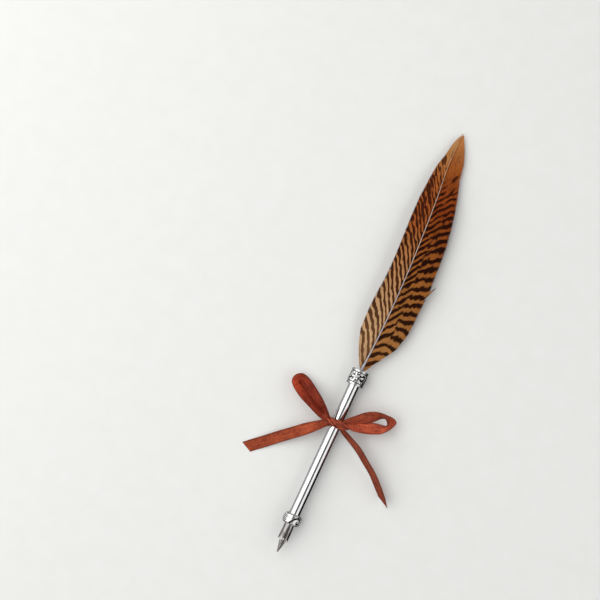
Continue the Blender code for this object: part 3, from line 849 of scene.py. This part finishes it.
NIB_NOTCH = 9.0                  # station where the shoulders' notches end
NIB_BENT = 8.2                   # station where the tines start to droop towards the point
NIB_END = 29.6
NIB_R = 3.2
WING_TIP = 7.5
TINE_SHOULDER = 2.45             # half width of the two tines together, at the notch
POINT_HALF = 0.28                # half width of the two tines together, at the point
HOLE_AT = 8.55                   # the breather hole, where the slit ends
HOLE_R = 0.5
SLIT_HALF = 0.05
NIB_SHEET = 0.25
NIB_RADIUS = ((0, NIB_R), (NIB_BENT, NIB_R), (17.7, 2.93), (20.7, 2.72), (NIB_END, 2.72))
SIDE_ANGLE = math.radians(92.0)
TIP_ANGLE = math.radians(78)


def nib_relief(x, station):
    """Depth of the nib's stamped chevrons and window, from 0 to 1."""
    x = np.abs(x)
    marks = [bell(station - at - 0.62 * x, 0.22) for at in (9.4, 10.4, 11.4)]
    bars = np.max(marks, axis=0) * smooth_step(2.3, 2.0, x)
    window = bell(x - 0.34 * (station - 2.2), 0.2)
    window = window * smooth_step(3.0, 3.6, station) * smooth_step(7.2, 6.8, station)
    cross = bell(station - 7.1, 0.2) * smooth_step(1.7, 1.5, x)
    return np.clip(bars + window + cross, 0, 1)


def nib_patch(stations, inner, outer, columns):
    """Points of a strip of the shell between two angles, and the depth of its relief."""
    share = np.linspace(0, 1, columns)
    angle = inner[:, None] + (outer - inner)[:, None] * share
    station = np.repeat(stations[:, None], columns, 1)
    outside = np.interp(stations, *np.array(NIB_RADIUS).T)[:, None]
    recess = nib_relief(outside * np.sin(angle), station)
    radius = outside - NIB_SHEET / 2 - 0.07 * recess
    drop = 0.9 * np.maximum(0.0, 1 - station / NIB_BENT) ** 2
    crown = 0.5 + 0.5 * smooth_step(20.0, 70.0, np.degrees(np.abs(angle)))
    crown = np.maximum(crown, smooth_step(14.0, 17.4, station))
    points = world(radius * np.sin(angle), station,
                   AXIS_Z + radius * (1 - (1 - np.cos(angle)) * crown) - drop)
    return points, recess


def make_nib(material):
    """A rolled steel shell: two tines, a slit and breather hole, and two pointed shoulders."""
    front = np.concatenate([np.linspace(0, 7.9, 44), np.linspace(8.05, NIB_NOTCH, 14)])
    back = np.concatenate([np.linspace(9.15, 16.0, 42), np.linspace(16.4, NIB_END, 30)])
    tine_columns, wing_columns = 26, 16

    stations = np.concatenate([front, back])
    width = POINT_HALF + (TINE_SHOULDER - POINT_HALF) * (front / NIB_NOTCH) ** 0.88
    notch_angle = math.asin(TINE_SHOULDER / NIB_R)
    seam = np.concatenate([np.arcsin(width / NIB_R), np.full(len(back), notch_angle)])
    hole = np.sqrt(np.clip(HOLE_R ** 2 - (stations - HOLE_AT) ** 2, 0, None))
    slit = np.where(stations < HOLE_AT, SLIT_HALF, 0.0)
    tines, tine_recess = nib_patch(stations, np.maximum(hole, slit) / NIB_R, seam, tine_columns)

    wing_front = np.linspace(WING_TIP, NIB_NOTCH, 16)
    rise = (wing_front - WING_TIP) / (NIB_NOTCH - WING_TIP)
    wing_stations = np.concatenate([wing_front, back])
    wing_inner = np.concatenate([TIP_ANGLE - (TIP_ANGLE - notch_angle) * rise ** 1.3,
                                 np.full(len(back), notch_angle)])
    wing_outer = np.concatenate([TIP_ANGLE + 0.02 + (SIDE_ANGLE - TIP_ANGLE - 0.02) * rise ** 0.6,
                                 np.full(len(back), SIDE_ANGLE)])
    wings, wing_recess = nib_patch(wing_stations, wing_inner, wing_outer, wing_columns)

    points = np.vstack([tines.reshape(-1, 3), wings.reshape(-1, 3)])
    faces = np.vstack([grid_faces(len(stations), tine_columns),
                       grid_faces(len(wing_stations), wing_columns) + tine_recess.size])
    recess = np.concatenate([tine_recess.ravel(), wing_recess.ravel()])
    obj = add_mesh("nib_shell", points, faces, material, {"recess": recess}, outward=False)
    weld = 0.00001
    rework(obj.data, lambda bm: bmesh.ops.remove_doubles(bm, verts=bm.verts, dist=weld))
    obj.modifiers.new("other_half", "MIRROR").merge_threshold = weld
    thicken(obj, NIB_SHEET)
    return obj


# ---- feather

def make_shaft(material):
    """The quill: round in the ferrule, then slightly oval with a groove along its underside."""
    rows, around = 260, 20
    station = np.linspace(SHAFT[0][0], SHAFT[-1][0], rows)[:, None]
    across, height, radius = (column[:, None] for column in reader(SHAFT)(station[:, 0]))
    angle = turns(around)
    grown = smooth_step(118.0, 130.0, station)
    radius = radius * (1 - (1 - SHAFT_SLIM) * smooth_step(117.0, 127.0, station))
    groove = 1 - 0.22 * grown * bell(angle - math.pi, 0.4)
    tip = smooth_step(SHAFT[-1][0] + 0.1, SHAFT[-1][0] - 3.0, station) * 0.85 + 0.15
    x = across + radius * np.sin(angle) * tip * groove
    z = height + radius * np.cos(angle) * tip * groove * (1 - 0.08 * grown)
    # How far round towards the underside each point lies, for the painted shade there.
    shade_below = 0.5 - 0.5 * np.cos(angle) * np.ones_like(station)
    faces = grid_faces(rows, around, wrap_columns=True).tolist()
    faces += [list(range(around)), list(range((rows - 1) * around, rows * around))]
    numbers = {"station": np.repeat(station, around, 1), "shade_below": shade_below}
    return add_mesh("quill_shaft_horn", world(x, station, z), faces, material, numbers)


def barb_tracks(side, edge, fringe, angles, roots, lean):
    """Where barbs run from their roots, step by step, and how long each is inside the vane."""
    outline = reader(edge)
    shaft = reader(SHAFT)

    def reach_at(station):
        across, _, radius = shaft(station)
        width = side * (outline(station)[0] - across) - SHAFT_SLIM * radius
        return np.maximum(width + np.interp(station, *zip(*fringe)), 0.02)

    station = roots.copy()
    lateral = np.zeros_like(roots)
    track = [(station, lateral, reach_at(station))]
    for _ in range(int(LONGEST_BARB / BARB_STEP)):
        share = np.clip(lateral / reach_at(station), 0, 1.2)
        fall = 1 - 0.45 * smooth_step(196, 262, station) - 0.42 * smooth_step(258, 271, station)
        spread = 1.62 - 0.62 * smooth_step(120.0, 140.0, station)
        angle = np.radians((angles[0] + (angles[1] - angles[0]) * share + lean) * fall * spread)
        station = station + np.cos(angle) * BARB_STEP
        lateral = lateral + np.sin(angle) * BARB_STEP
        track.append((station, lateral, reach_at(station)))
    station, lateral, reach = (np.array(part) for part in zip(*track))
    room = np.where(station > edge[-1][0], -1.0, reach - lateral)
    first_out = np.argmax(room < 0, axis=0)
    index = np.arange(len(roots))
    before = room[first_out - 1, index]
    after = room[first_out, index]
    length = (first_out - 1 + before / (before - after)) * BARB_STEP
    return station, lateral, length


def make_vane(name, side, edge, fringe, slope, angles, splits, strays, seed, material):
    """A vane of separate barbs, each a slim closed strip with a ridge, laid like shingles.
    Angles are a barb's, from the shaft, at its root and at its end. Splits are gaps between
    barbs, and strays are barbs that stand out.
    """
    rng = np.random.default_rng(seed)
    count = int((BARB_LAST - BARB_FIRST) / BARB_PITCH)
    roots = BARB_FIRST + (np.arange(count) + rng.uniform(-0.2, 0.2, count)) * BARB_PITCH
    lean = rng.normal(0.0, 0.1, count) + 1.2 * np.sin(roots / 4.3 + side) * np.sin(roots / 11.0)
    for at, spread, _, outward in strays:
        lean = lean + outward * bell(roots - at, spread)
    lift = rng.normal(0.0, 0.03, count)
    tone = rng.uniform(0.0, 1.0, count)
    station, lateral, length = barb_tracks(side, edge, fringe, angles, roots, lean)
    length = length * (1 + rng.normal(0.0, 0.006, count))
    length = length - (rng.uniform(0, 1, count) > 0.97) * rng.uniform(0.3, 1.4, count)
    for at, spread, longer, _ in strays:
        length = length + longer * bell(roots - at, spread)
    length = np.maximum(length, 0.8)

    share = np.linspace(0, 1, BARB_POINTS)[:, None] ** 0.9
    index = share * length / BARB_STEP
    whole = np.minimum(index.astype(int), len(station) - 2)
    part = index - whole
    column = np.arange(count)
    s = station[whole, column] * (1 - part) + station[whole + 1, column] * part
    u = lateral[whole, column] * (1 - part) + lateral[whole + 1, column] * part
    for at, amount, spread in splits:
        beside = roots - at
        s = s + amount * np.tanh(beside / 0.3) * np.exp(-np.abs(beside) / spread) * share ** 5
    across, height, radius = reader(SHAFT)(s)
    x = across + side * (radius * 0.42 + u)
    droop = math.tan(math.radians(slope)) * u
    ripple = 0.22 * np.sin(s / 7.0 + side) * (u / 12.0) + 0.12 * np.sin(s / 2.3) * (u / 14.0) ** 2
    z = height - droop + ripple + lift * share + 0.25 * radius * (1 - share)

    along_x, beside_x = np.gradient(x)
    along_s, beside_s = np.gradient(s)
    norm = np.hypot(along_x, along_s)
    spacing = np.abs(beside_x * along_s - beside_s * along_x) / norm
    taper = (1 - 0.86 * smooth_step(0.9, 1.0, share)) * (0.75 + 0.25 * smooth_step(0, 0.08, share))
    half = np.clip(BARB_OVERLAP / 2 * spacing, 0.1, 0.42) * taper
    side_x, side_s = -along_s / norm * half, along_x / norm * half
    ridge = BARB_RIDGE * (1 - 0.6 * smooth_step(0.85, 1.0, share))
    ring = [
        (x + side_x, s + side_s, z - 0.02), (x, s, z + ridge),
        (x - side_x, s - side_s, z + 0.02), (x, s, z - BARB_KEEL),
    ]
    points = np.stack([world(*corner) for corner in ring], 2)      # along, barb, corner
    numbers = {
        "station": np.stack([corner[1] for corner in ring], 2),
        "lateral": np.stack([u + side * (corner[0] - x) for corner in ring], 2),
        "barb": np.broadcast_to(tone[None, :, None], points.shape[:3]),
        "along": np.broadcast_to((share * length / 20.0)[:, :, None], points.shape[:3]),
    }
    number = np.arange(points[..., 0].size).reshape(points.shape[:3])
    turned = np.roll(number, -1, axis=2)
    sides = np.stack([number[:-1], turned[:-1], turned[1:], number[1:]], -1).reshape(-1, 4)
    obj = add_mesh(name, points, np.vstack([sides, number[0], number[-1]]), material, numbers)
    lay_out_barbs(obj, count)
    return obj


def lay_out_barbs(obj, count):
    """A flat layout for the bake: the vane in three lengths, seen from above and from below."""
    mesh = obj.data
    lengths = 3
    size = 126.0                  # millimetres of vane over the layout's whole side
    row_height = 20.6
    sides = (BARB_POINTS - 1) * count * 4
    polygon = np.arange(sides + 2 * count)
    ordinal = np.where(polygon < sides, polygon // 4 % count, (polygon - sides) % count)
    from_below = (polygon < sides) & (polygon % 4 >= 2)
    cell = np.minimum(ordinal * lengths // count, lengths - 1)
    start = BARB_FIRST + cell * (BARB_LAST - BARB_FIRST) / lengths
    vertex = np.zeros(len(mesh.loops), int)
    mesh.loops.foreach_get("vertex_index", vertex)
    place = np.zeros(len(mesh.vertices) * 3)
    mesh.vertices.foreach_get("co", place)
    place = place.reshape(-1, 3)[vertex] / MM
    of_loop = np.repeat(polygon, 4)
    row = cell + lengths * from_below
    u = (place[:, 1] + HALF - start[of_loop] + 1.0) / size
    v = (np.abs(place[:, 0] + 1.5) + 0.5 + row[of_loop] * row_height) / size
    layer = mesh.uv_layers.new(name="OFBake")
    layer.uv.foreach_set("vector", np.stack([u, v], -1).astype(np.float32).ravel())


# ---- ribbon

def lengths_along(middle):
    """How many millimetres along a path each of its points is."""
    return np.concatenate([[0], np.cumsum(np.linalg.norm(np.diff(middle, axis=0), axis=1))]) / MM


def directions(middle):
    """Unit vectors along a path, level beside it, and upwards."""
    along = unit(np.gradient(middle, axis=0))
    level = unit(np.stack([-along[:, 1], along[:, 0], np.zeros(len(along))], -1))
    return along, level, np.cross(along, level)


def add_cloth(name, points, material, length, closed=False, **numbers):
    """A thin sheet from rows of points, with its numbers. Also gives the ribbon's length."""
    shape = points.shape[:2]
    numbers = {key: np.broadcast_to(value, shape) for key, value in numbers.items()}
    faces = grid_faces(*shape, wrap_columns=closed)
    obj = add_mesh(name, points, faces, material, numbers, outward=False)
    thicken(obj, RIBBON_SHEET)
    return obj, length


def band(name, left, right, material, curl, pleat, gathered, phase=0.0):
    """A strip of ribbon between two edges, curled across its width and pleated where gathered."""
    share = np.linspace(0, 1, 21)
    middle = (left + right) / 2
    along = lengths_along(middle)
    points = left[:, None] * (1 - share[:, None]) + right[:, None] * share[:, None]
    normal = unit(np.cross(np.gradient(middle, axis=0), right - left))
    bow = curl * (1 - (2 * share - 1) ** 2)
    folds = np.cos(share * 2 * math.pi * 3 + 0.35 * along[:, None] + phase)
    flutter = 0.14 * np.sin(along / 2.7 + phase)[:, None] * (2 * share - 1) ** 2
    shift = (bow + flutter) * (1 - 0.5 * gathered[:, None]) + pleat * gathered[:, None] * folds
    points = points + normal[:, None] * shift[..., None] * MM
    return add_cloth(name, points, material, along[-1],
                     along=along[:, None], across=(share - 0.5) * RIBBON_WIDTH)


def declare_ribbon(length):
    """Works out a piece of ribbon's area, that of the real, 7 mm wide ribbon, and the long side of a
    flat rectangle round it, no shorter than LEAST_FLAT, but keeps neither.
    """
    max(length, LEAST_FLAT) * MM
    RIBBON_WIDTH * length * MM * MM


def loop_edges(root, turn, rows):
    """The high and low edges of a loop of the bow, in metres, and how gathered it is."""
    out_high, aside_high, out_low, aside_low = smooth_rows(rows, SAMPLES).T
    opened = np.clip(out_low / GATHER_LENGTH, 0, 1)
    width = GATHERED + (RIBBON_WIDTH - GATHERED) * opened
    spread = np.hypot(out_high - out_low, aside_high - aside_low)
    rise = np.sqrt(np.clip(width ** 2 - spread ** 2, 0, None))
    low = LOOP_ROOT_Z + (LOOP_FAR_Z - LOOP_ROOT_Z) * out_low / out_low.max()
    low = low + LOOP_LAP * smooth_step(0.4, 0.6, np.linspace(0, 1, len(low)))
    c, s = math.cos(math.radians(turn)), math.sin(math.radians(turn))

    def placed(out, aside, height):
        return world(root[0] + out * c - aside * s, root[1] + out * s + aside * c, height)
    return placed(out_high, aside_high, low + rise), placed(out_low, aside_low, low), 1 - opened


def make_loop(name, root, turn, rows, material):
    high, low, gathered = loop_edges(root, turn, rows)
    return band(name, high, low, material, 0.5, 0.32, gathered)


def make_tail(name, rows, cut, material, curl):
    """A free end of the ribbon, cut off at a slant."""
    fine = smooth_rows(rows, SAMPLES)
    across, station, height, width, roll = fine.T
    middle = world(across, station, height)
    along, level, upward = directions(middle)
    turn = np.radians(roll)[:, None]
    left = (level * np.cos(turn) + upward * np.sin(turn)) * width[:, None] * MM / 2
    cut_rows = 3 * SAMPLES
    slant = np.clip((np.arange(len(fine)) - len(fine) + 1 + cut_rows) / cut_rows, 0, None)
    slant = unit(along * (1.0, 1.0, 0.0)) * slant[:, None] * MM
    gathered = np.clip((RIBBON_WIDTH - width) / (RIBBON_WIDTH - GATHERED), 0, 1)
    return band(name, middle + left + slant * cut[0], middle - left + slant * cut[1],
                material, curl, 0.3, gathered, 1.0)


def make_strand(name, rows, material, twist):
    """A stretch of the ribbon that the knot has crushed into a pleated roll, open underneath."""
    across, station, height, half_width, half_height, roll = smooth_rows(rows, SAMPLES).T
    middle = world(across, station, height)
    _, level, upward = directions(middle)
    length = lengths_along(middle)
    share = np.linspace(0, 1, 41)
    angle = np.radians(-152 + 304 * share) + np.radians(roll)[:, None]
    fold = np.cos(6 * angle + twist * length[:, None])
    pleats = 1 + 0.15 * fold
    sideways = half_width[:, None] * np.sin(angle) * pleats * MM
    up = half_height[:, None] * np.cos(angle) * pleats * MM
    points = middle[:, None] + level[:, None] * sideways[..., None] + upward[:, None] * up[..., None]
    # Painted shade: darker in the pleats' hollows and on the sides that turn under the roll.
    crease = smooth_step(0.1, -1.0, fold) + smooth_step(1.0, 2.1, np.abs(angle))
    return add_cloth(name, points, material, length[-1], along=length[:, None],
                     across=(share - 0.5) * RIBBON_WIDTH * 0.6, crease=crease)


def make_wrap(material):
    """The turn of ribbon round the barrel, pulled tight into pleats."""
    low, high = ends_of("ribbon_wrap")
    angle = turns(150)
    share = np.linspace(0, 1, 37)[:, None]
    pleats = np.cos(share * 2 * math.pi * 4 + 0.8 * np.sin(2 * angle) + 0.5 * np.sin(5 * angle + 1))
    middle = BARREL_R + 0.55
    radius = middle + 0.26 * pleats
    station = low + (high - low) * share + 0.12 * np.sin(3 * angle)
    points = world(radius * np.sin(angle), station, AXIS_Z + radius * np.cos(angle))
    return add_cloth("ribbon_wrap_pleats", points, material, 2 * math.pi * middle, closed=True,
                     along=angle * middle, across=(share - 0.5) * RIBBON_WIDTH)


# ---- stage

CAMERA_TARGET = Vector((-0.0509, 0.0043, 0.0055))
CAMERA_DISTANCE = 0.9
FLOOR_HALF = 4.0


def make_camera():
    azimuth, elevation = math.radians(25.0), math.radians(86.5)
    back = Vector((
        math.sin(azimuth) * math.cos(elevation), -math.cos(azimuth) * math.cos(elevation),
        math.sin(elevation),
    ))
    data = bpy.data.cameras.new("camera")
    data.lens = 90.0
    data.sensor_width = 36.0
    camera = bpy.data.objects.new("camera", data)
    camera.location = CAMERA_TARGET + back * CAMERA_DISTANCE
    camera.rotation_euler = back.to_track_quat("Z", "Y").to_euler()
    bpy.context.scene.collection.objects.link(camera)
    bpy.context.scene.camera = camera


def add_softbox(name, angle, width, power):
    """A large area light beside the pen, leaning over from the vertical by an angle."""
    distance, length = 0.85, 1.7
    data = bpy.data.lights.new(name, "AREA")
    data.shape = "RECTANGLE"
    data.size = width
    data.size_y = length
    data.energy = power
    lamp = bpy.data.objects.new(name, data)
    turn = math.radians(angle)
    lamp.location = (math.sin(turn) * distance, 0.0, math.cos(turn) * distance)
    lamp.rotation_euler.y = turn
    lamp.visible_camera = False
    bpy.context.scene.collection.objects.link(lamp)


def make_stage():
    paint = Paint("floor_card")
    grain = paint.grain(90.0)
    card = paint.finish(paint.vary(grain, (230, 230, 226), (236, 236, 233)),
                        grain * 0.1 + 0.85, grain, 0.0001, 0.2)
    corners = np.array(((-1, -1, 0), (1, -1, 0), (1, 1, 0), (-1, 1, 0))) * FLOOR_HALF
    floor = add_mesh("floor", corners, [[0, 1, 2, 3]], card)
    floor.visible_glossy = False      # the metal reflects the studio's dark and light sides
    make_studio_air()
    add_softbox("key_softbox", -46.0, 1.25, 11.6)
    add_softbox("fill_softbox", 52.0, 0.72, 3.9)


def make_studio_air():
    """Dim grey above, darker to the right, brighter low on the left and at the pen's two ends."""
    air = bpy.data.worlds.new("studio")
    air.use_nodes = True
    tree = air.node_tree
    background = tree.nodes["Background"]
    background.inputs["Color"].default_value = (0.82, 0.83, 0.85, 1.0)
    direction = tree.nodes.new("ShaderNodeSeparateXYZ")
    tree.links.new(tree.nodes.new("ShaderNodeTexCoord").outputs["Generated"], direction.inputs[0])
    x, y, z = (Value(tree, socket) for socket in direction.outputs)
    low_left = (x * -1.0).step(0.45, 0.85) * (z * -1.0).step(-0.15, 0.1)
    dark_right = x.step(0.35, 0.9) * 0.12 + (z * -1.0).step(-0.1, 0.3) * 0.1
    ends = y.math("ABSOLUTE").step(0.3, 0.75)
    strength = (low_left * 0.5 + 0.17 - dark_right).most(0.01).most(ends * 0.62)
    put(tree, strength, background.inputs["Strength"])
    bpy.context.scene.world = air


# ---- assembly

def repaint(node, material):
    """Gives a CAD node a better material."""
    for material_slot in frame["nodes"][node].material_slots:
        material_slot.material = material


def make_metal():
    silver = antique_silver()
    add_piece(make_barrel(polished_tube()), "pen", "polished_metal", "barrel")
    add_piece(make_ferrule(silver), "pen", "antique_silver", "upper_ferrule")
    add_piece(make_collar(silver), "pen", "antique_silver", "lower_collar")
    add_piece(make_nib(nib_steel()), "nib", "nib_steel", "nib")
    repaint("nib_holder", holder_steel())
    repaint("quill_bush", bush_plastic())
    repaint("adhesive_plug", clear_glue())


def make_feather():
    add_piece(make_shaft(quill_keratin()), "pen", "quill_keratin", "quill_shaft")
    left = make_vane(
        "vane_left_barbs", -1, LEFT_EDGE, LEFT_FRINGE, 9.0, (30.0, 20.0),
        splits=((139.0, 0.5, 4.0), (176.0, 0.35, 3.0), (214.0, 0.45, 3.0)),
        strays=((133.0, 0.6, -0.8, 0.0), (272.0, 2.0, 1.6, 0.0)),
        seed=5, material=vane_tan(),
    )
    add_piece(left, "pen", "feather_tan", "vane_left")
    right = make_vane(
        "vane_right_barbs", 1, RIGHT_EDGE, RIGHT_FRINGE, 11.0, (37.0, 25.0),
        splits=((148.4, 0.7, 3.0), (187.0, 0.4, 3.0), (221.0, 0.35, 2.0)),
        strays=((147.0, 0.8, -1.8, 0.0), (149.6, 0.4, 6.6, 2.2), (272.0, 2.0, 1.6, 0.0)),
        seed=8, material=vane_rust(),
    )
    add_piece(right, "pen", "feather_rust", "vane_right")


def make_bow():
    # The five satin materials are lit and shaded copies of one ribbon: each piece's colours are
    # painted lighter or darker for how light falls on it, and the last numbers paint light and shade
    # along it, such as a painted highlight on the left loop's far fold.
    left_loop = satin("satin_left_loop", (172, 66, 40), (66, 12, 4), (
        (0, 0.8), (12, 0.72), (26, 0.9), (33, 1.35), (39, 1.75), (46, 1.1), (62, 0.95), (76, 1.15),
    ))
    right_loop = satin("satin_right_loop", (204, 96, 66), (92, 26, 12), (
        (0, 1.2), (10, 1.3), (24, 1.2), (34, 0.85), (42, 0.75), (54, 0.95), (76, 0.7),
    ))
    left_tail = satin("satin_left_tail", (186, 86, 50), (102, 34, 18), (
        (0, 0.85), (12, 1.1), (30, 0.95), (48, 0.95), (66, 1.1),
    ))
    right_tail = satin("satin_right_tail", (160, 70, 40), (76, 24, 12), (
        (0, 0.8), (14, 1.05), (36, 1), (66, 0.95),
    ))
    knot = satin("satin_knot", (206, 96, 66), (50, 8, 4), ((0, 0.9), (6, 1.1), (26, 0.9)))
    made = (
        (make_loop("ribbon_right_loop", RIGHT_LOOP_ROOT, RIGHT_LOOP_TURN, RIGHT_LOOP, right_loop),
         "ribbon_loop_right", "ribbon_band"),
        (make_loop("ribbon_left_loop", LEFT_LOOP_ROOT, LEFT_LOOP_TURN, LEFT_LOOP, left_loop),
         "ribbon_loop_left", "ribbon_band"),
        (make_tail("ribbon_right_tail", RIGHT_TAIL, RIGHT_TAIL_CUT, right_tail, 0.25),
         "ribbon_tail_right", "ribbon_band"),
        (make_tail("ribbon_left_tail", LEFT_TAIL, LEFT_TAIL_CUT, left_tail, 0.2),
         "ribbon_tail_left", "ribbon_band"),
        (make_wrap(knot), "ribbon_wrap", "barrel"),
        (make_strand("ribbon_band", KNOT_BAND, knot, 0.9), "ribbon_knot", "barrel"),
        (make_strand("ribbon_left_fold", KNOT_LEFT, knot, -0.7), None, "barrel"),
        (make_strand("ribbon_right_fold", KNOT_RIGHT, knot, 1.3), None, "barrel"),
        (make_strand("ribbon_low_fold", KNOT_LOW, knot, -1.1), None, "barrel"),
    )
    for (obj, length), node, rests_on in made:
        add_piece(obj, "bow", "satin_ribbon", *filter(None, [node]))
        declare_ribbon(length)


bpy.context.scene.view_settings.view_transform = "Standard"
make_camera()
make_stage()
make_metal()
make_feather()
make_bow()
